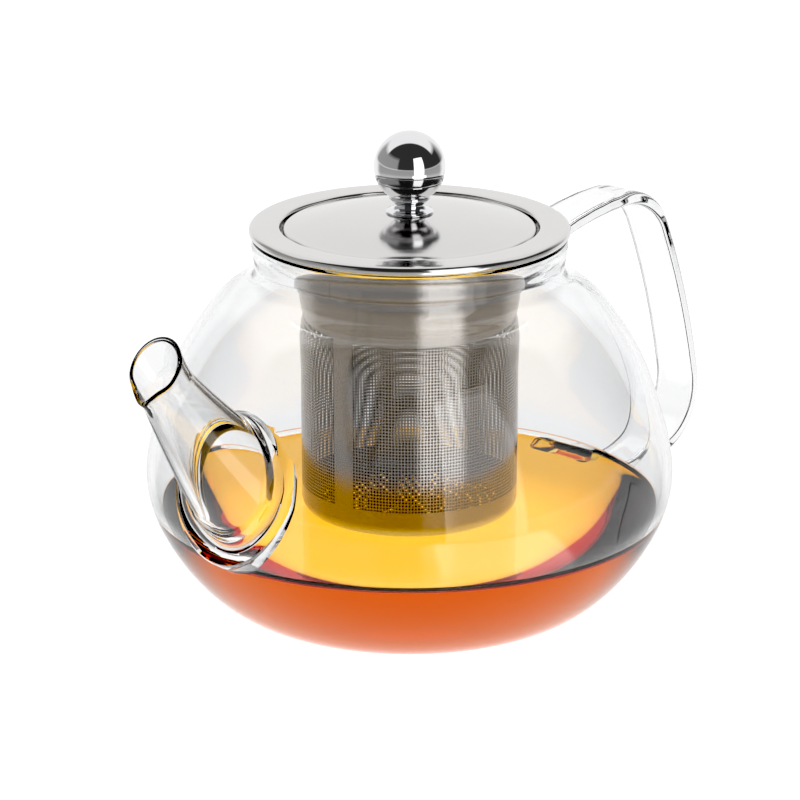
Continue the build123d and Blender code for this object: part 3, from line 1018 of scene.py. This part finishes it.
def make_card(name, place, size, level):
    """A card facing the pot, seen only in reflections and through glass; its level is a colour."""
    data = bmesh.new()
    bmesh.ops.create_grid(data, x_segments=1, y_segments=1, size=0.5)
    card = new_piece(name, data)
    card.scale = (size[0], size[1], 1)
    card.location = place
    aim = Vector((0, 0, place.z)) - place
    card.rotation_euler = aim.to_track_quat("-Z", "Y").to_euler()
    dress(card, card_material(name, level))
    card.visible_camera = False
    card.visible_shadow = False
    card.visible_diffuse = False
    return card


def make_lamp(name, place, size, power):
    """A soft box aimed at the pot."""
    light = bpy.data.lights.new(name, "AREA")
    light.shape = "RECTANGLE"
    light.size, light.size_y = size
    light.energy = power
    lamp = bpy.data.objects.new(name, light)
    bpy.context.scene.collection.objects.link(lamp)
    lamp.location = place
    lamp.rotation_euler = (Vector((0, 0, 0.06)) - place).to_track_quat("-Z", "Y").to_euler()
    lamp.visible_glossy = False
    return lamp


def make_world():
    """A surround, white to the camera; reflections and glass show a dim room on the camera's side."""
    world = bpy.data.worlds.new("studio")
    world.use_nodes = True
    tree = world.node_tree
    back = tree.nodes["Background"]
    way = tree.nodes.new("ShaderNodeTexCoord").outputs["Generated"]
    axes, side = round_ramp(tree, way, room_round)
    rise = tree.nodes.new("ShaderNodeValToRGB")
    tree.links.new(axes.outputs["Z"], rise.inputs["Fac"])
    fill_ramp(rise, room_rise)
    depth = node(tree, "ShaderNodeMapRange", [("Value", axes.outputs["Y"])])
    depth.inputs["From Min"].default_value = -1
    overhead = tree.nodes.new("ShaderNodeValToRGB")
    tree.links.new(depth.outputs["Result"], overhead.inputs["Fac"])
    fill_ramp(overhead, room_depth)
    lift = tree.nodes.new("ShaderNodeValToRGB")
    tree.links.new(axes.outputs["Z"], lift.inputs["Fac"])
    fill_ramp(lift, [(0.45, 0.0), (0.60, 1.0)])
    sides = [("Fac", lift.outputs["Color"]), ("Color1", side.outputs["Color"])]
    room = node(tree, "ShaderNodeMixRGB", sides)
    tree.links.new(overhead.outputs["Color"], room.inputs["Color2"])
    above = [("Fac", rise.outputs["Color"]), ("Color2", room.outputs["Color"])]
    mixed = node(tree, "ShaderNodeMixRGB", above)
    mixed.inputs["Color1"].default_value = (0.96, 0.96, 0.96, 1)
    seen = tree.nodes.new("ShaderNodeLightPath")
    unseen = [("Fac", seen.outputs["Is Camera Ray"]), ("Color1", mixed.outputs["Color"])]
    shown = node(tree, "ShaderNodeMixRGB", unseen)
    shown.inputs["Color2"].default_value = (1, 1, 1, 1)
    tree.links.new(shown.outputs["Color"], back.inputs["Color"])
    back.inputs["Strength"].default_value = 1.0
    bpy.context.scene.world = world


def round_ramp(tree, way, stops):
    """The turned axes, and a ramp of grey levels by bearing; half way is the camera's side."""
    turned = node(tree, "ShaderNodeVectorRotate", [("Vector", way)], rotation_type="Z_AXIS")
    turned.inputs["Angle"].default_value = pi - view_azimuth
    axes = node(tree, "ShaderNodeSeparateXYZ", [("Vector", turned.outputs["Vector"])])
    bearing = [(0, axes.outputs["X"]), (1, axes.outputs["Y"])]
    around = node(tree, "ShaderNodeMath", bearing, operation="ARCTAN2")
    share = node(tree, "ShaderNodeMapRange", [("Value", around.outputs["Value"])])
    share.inputs["From Min"].default_value = -pi
    share.inputs["From Max"].default_value = pi
    side = tree.nodes.new("ShaderNodeValToRGB")
    tree.links.new(share.outputs["Result"], side.inputs["Fac"])
    fill_ramp(side, stops)
    return axes, side


def fill_ramp(ramp, stops):
    """Sets the stops of a colour ramp from (position, grey level) pairs."""
    marks = ramp.color_ramp.elements
    while len(marks) > 1:
        marks.remove(marks[0])
    for k, (position, level) in enumerate(stops):
        mark = marks[0] if k == 0 else marks.new(position)
        mark.position = position
        mark.color = (level, level, level, 1)


# Painted glow of the table by distance from the pot's axis, in metres
table_glow = [(0.0, 1.7), (0.036, 1.65), (0.064, 1.02), (1.0, 0.95)]
# Painted glow of the table further out, by bearing, as in room_round; the bright stretch is painted light
# standing in for a white board
table_round = [
    (0.0, 0.88), (0.15, 0.88), (0.20, 0.50), (0.345, 0.46), (0.352, 1.9),
    (0.472, 1.9), (0.478, 0.44), (0.80, 0.50), (0.85, 0.88), (1.0, 0.88),
]
# The same, further out still
table_far = [(0.0, 0.88), (0.15, 0.88), (0.20, 0.30), (0.80, 0.30), (0.85, 0.88), (1.0, 0.88)]
# Round the horizon from behind the pot, by its right, the camera and its left, back to behind
room_round = [
    (0.0, 0.96), (0.09, 0.96), (0.14, 0.38), (0.18, 0.075), (0.60, 0.075),
    (0.615, 0.33), (0.86, 0.38), (0.91, 0.96), (1.0, 0.96),
]
# High up, from behind the pot to the camera's side
room_depth = [(0.0, 0.96), (0.46, 0.96), (0.49, 0.075), (1.0, 0.075)]
# How much of the dim room shows, from the horizon to overhead
room_rise = [(0.0, 0.5), (0.01, 0.5), (0.045, 1.0), (1.0, 1.0)]


make_camera()
make_floor()
make_world()
strip_way = Matrix.Rotation(radians(30), 3, "Z") @ toward_camera
strip_place = strip_way * 0.34 + Vector((0, 0, 0.20))
lamp_place = toward_camera * -0.9 + Vector((0, 0, 1.3))
make_card("front_strip", strip_place, (0.20, 0.38), (1.5, 1.5, 1.5))
make_lamp("top_box", lamp_place, (1.2, 0.8), 10)

scene = bpy.context.scene
scene.view_settings.view_transform = "Standard"
scene.view_settings.use_curve_mapping = True
scene.view_settings.curve_mapping.black_level = (0.04, 0.04, 0.04)
scene.view_settings.curve_mapping.white_level = (0.98, 0.98, 0.98)
